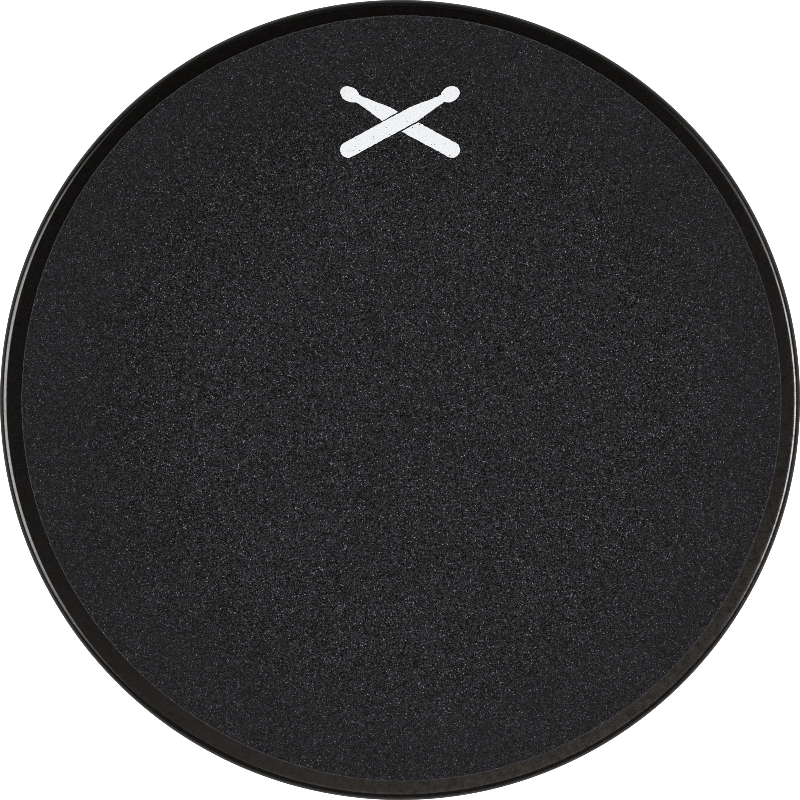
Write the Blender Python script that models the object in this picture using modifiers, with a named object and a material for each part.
"""Drum practice pad, 12 inch size: a soft striking surface laminated on a rounded fibreboard disc,
with a non-slip mat underneath.

Metres, +Z up. The origin is the centre of the mat's underside, which is the face the pad stands on.
+Y points to the printed mark, so a drummer sits on the -Y side. The pad is a stack of round layers,
each turned from a half profile. Each object's own origin is the centre of its underside.
"""

import math

import bmesh
import bpy

# ---- layers ----

BOARD_DIAMETER = 0.3048  # 12 in, the size that drops into a snare stand's basket
BOARD_THICKNESS = 0.0180  # standard fibreboard
BOARD_TOP_ROUND = 0.0030  # radius routed round the top edge
BOARD_FOOT_ROUND = 0.0020  # smaller radius round the bottom edge
BOARD_TOP_STEPS = 8
BOARD_FOOT_STEPS = 4

SHEET_DIAMETER = 0.2889  # 11 3/8 in, leaves a ledge of bare board about 8 mm wide all round
SHEET_THICKNESS = 0.0030
SHEET_EDGE_ROUND = 0.0003  # a die-cut edge is almost sharp

FOAM_DIAMETER = 0.2880  # hidden just inside the sheet's edge
FOAM_THICKNESS = 0.0055
FOAM_EDGE_ROUND = 0.0004

MAT_DIAMETER = 0.2920
MAT_THICKNESS = 0.0025
MAT_EDGE_ROUND = 0.0006

FILM_THICKNESS = 0.0002  # each adhesive film
FILM_INSET = 0.0010  # how far a film stops short of the layer it holds
CLEARANCE = 0.0003  # between any two neighbours in the stack

RIM_STEPS = 144  # sides of a turned layer
SOFT_EDGE_STEPS = 2  # steps in each edge round of the mat, foam and sheet

# ---- printed mark ----

MARK_THICKNESS = 0.0002
MARK_CENTRE_Y = 0.1055

STICK_LENGTH = 0.0508
STICK_TILT = math.radians(28.5)
STICK_HALF_BUTT = 0.0030  # half width of the plain shaft, and radius of its round end
STICK_HALF_NECK = 0.00155  # half width behind the tip
STICK_HALF_TIP = 0.0028  # half width of the oval tip

# Distances from the butt end, along the stick
TIP_HALF_LENGTH = 0.075 * STICK_LENGTH
TIP_CENTRE = STICK_LENGTH - TIP_HALF_LENGTH
TAPER_START = 0.58 * STICK_LENGTH
TAPER_END = TIP_CENTRE - 0.8 * TIP_HALF_LENGTH
TIP_STATIONS_START = 0.84 * STICK_LENGTH  # just behind the oval tip

BUTT_STEPS = 6
SHAFT_STEPS = 14
TIP_STEPS = 14

# ---- mesh settings ----

MERGE_DISTANCE = 0.00001
SHARP_ANGLE = math.radians(40.0)


# ---- scene and materials ----


def clear_scene():
    for obj in list(bpy.data.objects):
        bpy.data.objects.remove(obj, do_unlink=True)
    for old in list(bpy.data.collections):
        bpy.data.collections.remove(old)


def new_collection(name):
    made = bpy.data.collections.new(name)
    bpy.context.scene.collection.children.link(made)
    return made


def principled(name, colour, roughness):
    material = bpy.data.materials.new(name)
    material.use_nodes = True
    shader = material.node_tree.nodes["Principled BSDF"]
    shader.inputs["Base Color"].default_value = (*colour, 1.0)
    shader.inputs["Roughness"].default_value = roughness
    shader.inputs["Metallic"].default_value = 0.0
    material.diffuse_color = (*colour, 1.0)
    return material


def adhesive(name):
    return principled(name, colour=(0.62, 0.56, 0.42), roughness=0.35)


# ---- shared building steps ----


def quarter_turn(steps):
    """Evenly spaced angles from 0 to 90 degrees, both ends included."""
    return [0.5 * math.pi * i / steps for i in range(steps + 1)]


def object_in(home, name, data):
    obj = bpy.data.objects.new(name, data)
    home.objects.link(obj)
    return obj


def evaluated_mesh(obj):
    """A new mesh of the object as its modifiers or curve settings shape it."""
    bpy.context.view_layer.update()
    depsgraph = bpy.context.evaluated_depsgraph_get()
    return bpy.data.meshes.new_from_object(obj.evaluated_get(depsgraph))


def finish(obj, material, location):
    """Bakes the modifiers, shades smooth with the real edges kept sharp, and places the object."""
    solid = evaluated_mesh(obj)
    solid.name = obj.name
    source = obj.data
    obj.modifiers.clear()
    obj.data = solid
    bpy.data.meshes.remove(source)
    solid.shade_smooth()
    solid.set_sharp_from_angle(angle=SHARP_ANGLE)
    solid.materials.clear()
    solid.materials.append(material)
    obj.parent = STAND
    obj.location = location


# ---- turned layers ----
# A profile is a half section as (radius, height) points: from the axis at the top, down the outer
# side, to the axis at the bottom.


def rounded_profile(diameter, thickness, top_round, foot_round, top_steps, foot_steps):
    """Half section of a disc with rounded edges."""
    radius = 0.5 * diameter
    top_edge = [
        (
            radius - top_round + top_round * math.sin(angle),
            thickness - top_round + top_round * math.cos(angle),
        )
        for angle in quarter_turn(top_steps)
    ]
    foot_edge = [
        (
            radius - foot_round + foot_round * math.cos(angle),
            foot_round - foot_round * math.sin(angle),
        )
        for angle in quarter_turn(foot_steps)
    ]
    return [(0.0, thickness), *top_edge, *foot_edge, (0.0, 0.0)]


def soft_profile(diameter, thickness, edge_round):
    """Half section of a soft layer, with the same small round on both edges."""
    return rounded_profile(
        diameter, thickness, edge_round, edge_round, SOFT_EDGE_STEPS, SOFT_EDGE_STEPS
    )


def film_profile(held_diameter):
    """Half section of a square-edged film that stops short of the layer it holds."""
    radius = 0.5 * held_diameter - FILM_INSET
    return [(0.0, FILM_THICKNESS), (radius, FILM_THICKNESS), (radius, 0.0), (0.0, 0.0)]


def turned(name, profile, base_z, material):
    """A solid turned about Z from a profile, its underside at height base_z."""
    mesh = bpy.data.meshes.new(name)
    bm = bmesh.new()
    verts = [bm.verts.new((radius, 0.0, height)) for radius, height in profile]
    for pair in zip(verts, verts[1:]):
        bm.edges.new(pair)
    bm.to_mesh(mesh)
    bm.free()

    obj = object_in(PAD, name, mesh)
    screw = obj.modifiers.new("turn", "SCREW")
    screw.axis = "Z"
    screw.angle = 2.0 * math.pi
    screw.steps = RIM_STEPS
    screw.render_steps = RIM_STEPS
    screw.use_merge_vertices = True
    screw.merge_threshold = MERGE_DISTANCE
    finish(obj, material, (0.0, 0.0, base_z))


def stacked_layers():
    """Builds the layers from the floor up and returns the height at which the next would sit."""
    board_profile = rounded_profile(
        BOARD_DIAMETER,
        BOARD_THICKNESS,
        BOARD_TOP_ROUND,
        BOARD_FOOT_ROUND,
        BOARD_TOP_STEPS,
        BOARD_FOOT_STEPS,
    )
    # name, profile, material
    layers = [
        (
            "non_slip_mat",
            soft_profile(MAT_DIAMETER, MAT_THICKNESS, MAT_EDGE_ROUND),
            principled("pebbled_rubber_black", colour=(0.018, 0.018, 0.018), roughness=0.75),
        ),
        ("mat_adhesive", film_profile(MAT_DIAMETER), adhesive("adhesive_film_mat")),
        (
            "base_board",
            board_profile,
            principled("satin_paint_brown_black", colour=(0.012, 0.010, 0.009), roughness=0.38),
        ),
        ("foam_adhesive", film_profile(FOAM_DIAMETER), adhesive("adhesive_film_foam")),
        (
            "foam_cushion",
            soft_profile(FOAM_DIAMETER, FOAM_THICKNESS, FOAM_EDGE_ROUND),
            principled("foam_charcoal", colour=(0.030, 0.030, 0.032), roughness=0.95),
        ),
        ("sheet_adhesive", film_profile(FOAM_DIAMETER), adhesive("adhesive_film")),
        (
            "playing_sheet",
            soft_profile(SHEET_DIAMETER, SHEET_THICKNESS, SHEET_EDGE_ROUND),
            principled("granular_rubber_black", colour=(0.022, 0.022, 0.024), roughness=0.82),
        ),
    ]
    base_z = 0.0
    for name, profile, material in layers:
        turned(name, profile, base_z, material)
        thickness = profile[0][1]  # a profile starts on the axis at the layer's top
        base_z += thickness + CLEARANCE
    return base_z


# ---- printed mark ----


def shaft_half_width(x):
    """Half width of the plain shaft, easing down to the neck."""
    if x <= TAPER_START:
        return STICK_HALF_BUTT
    if x >= TAPER_END:
        return STICK_HALF_NECK
    t = (x - TAPER_START) / (TAPER_END - TAPER_START)
    return STICK_HALF_BUTT + (STICK_HALF_NECK - STICK_HALF_BUTT) * t * t * (3.0 - 2.0 * t)


def stick_half_width(x):
    """Half width of a drumstick at distance x from its butt end."""
    if x < STICK_HALF_BUTT:  # round butt
        return math.sqrt(max(STICK_HALF_BUTT * STICK_HALF_BUTT - (STICK_HALF_BUTT - x) ** 2, 0.0))
    along_tip = (x - TIP_CENTRE) / TIP_HALF_LENGTH  # -1 to 1 over the oval
    oval = STICK_HALF_TIP * math.sqrt(max(1.0 - along_tip * along_tip, 0.0))
    return oval if x > TIP_CENTRE else max(shaft_half_width(x), oval)


def stick_outline():
    """Closed outline of a drumstick lying along X, centred on its middle, its tip towards +X."""
    # Stations lie closer together at the two round ends.
    butt = [STICK_HALF_BUTT * (1.0 - math.cos(angle)) for angle in quarter_turn(BUTT_STEPS)]
    shaft = [
        STICK_HALF_BUTT + (TIP_STATIONS_START - STICK_HALF_BUTT) * i / SHAFT_STEPS
        for i in range(1, SHAFT_STEPS + 1)
    ]
    tip = [
        TIP_STATIONS_START + (STICK_LENGTH - TIP_STATIONS_START) * math.sin(angle)
        for angle in quarter_turn(TIP_STEPS)[1:]
    ]
    upper = [(x, stick_half_width(x)) for x in butt + shaft + tip]
    lower = [(x, -half_width) for x, half_width in reversed(upper[1:-1])]
    return [(x - 0.5 * STICK_LENGTH, y) for x, y in upper + lower]


def printed_stick(name, tilt, home):
    """A flat drumstick of the ink's thickness, tilted about Z, its underside at z = 0."""
    curve = bpy.data.curves.new(name, "CURVE")
    curve.dimensions = "2D"
    curve.fill_mode = "BOTH"
    curve.extrude = 0.5 * MARK_THICKNESS
    outline = stick_outline()
    spline = curve.splines.new("POLY")
    spline.points.add(len(outline) - 1)
    cosine, sine = math.cos(tilt), math.sin(tilt)
    for point, (x, y) in zip(spline.points, outline):
        point.co = (cosine * x - sine * y, sine * x + cosine * y, 0.0, 1.0)
    spline.use_cyclic_u = True
    curve_object = object_in(home, name + "_outline", curve)
    mesh = evaluated_mesh(curve_object)
    bpy.data.objects.remove(curve_object, do_unlink=True)

    # The filled curve's faces and sides are separate, so they are welded into one closed solid.
    bm = bmesh.new()
    bm.from_mesh(mesh)
    bmesh.ops.remove_doubles(bm, verts=bm.verts, dist=MERGE_DISTANCE)
    bmesh.ops.translate(bm, vec=(0.0, 0.0, 0.5 * MARK_THICKNESS), verts=bm.verts)
    bmesh.ops.recalc_face_normals(bm, faces=bm.faces)
    bm.to_mesh(mesh)
    bm.free()
    return object_in(home, name, mesh)


def crossed_sticks(base_z):
    """The printed mark: two drumsticks crossing at their middles, joined into one film of ink."""
    ink = principled("screen_ink_white", colour=(0.86, 0.88, 0.88), roughness=0.55)
    mark = printed_stick("printed_mark", STICK_TILT, PAD)
    second = printed_stick("mark_second_stick", math.pi - STICK_TILT, HELPERS)
    second.hide_render = True
    union = mark.modifiers.new("join", "BOOLEAN")
    union.operation = "UNION"
    union.solver = "EXACT"
    union.object = second
    finish(mark, ink, (0.0, MARK_CENTRE_Y, base_z))
    bpy.data.objects.remove(second, do_unlink=True)


# ---- build ----

clear_scene()
PAD = new_collection("practice_pad")
HELPERS = new_collection("practice_pad_cutters")
STAND = object_in(PAD, "pad_origin", None)  # empty that every piece is parented to
STAND.empty_display_size = 0.05

mark_z = stacked_layers()
crossed_sticks(mark_z)
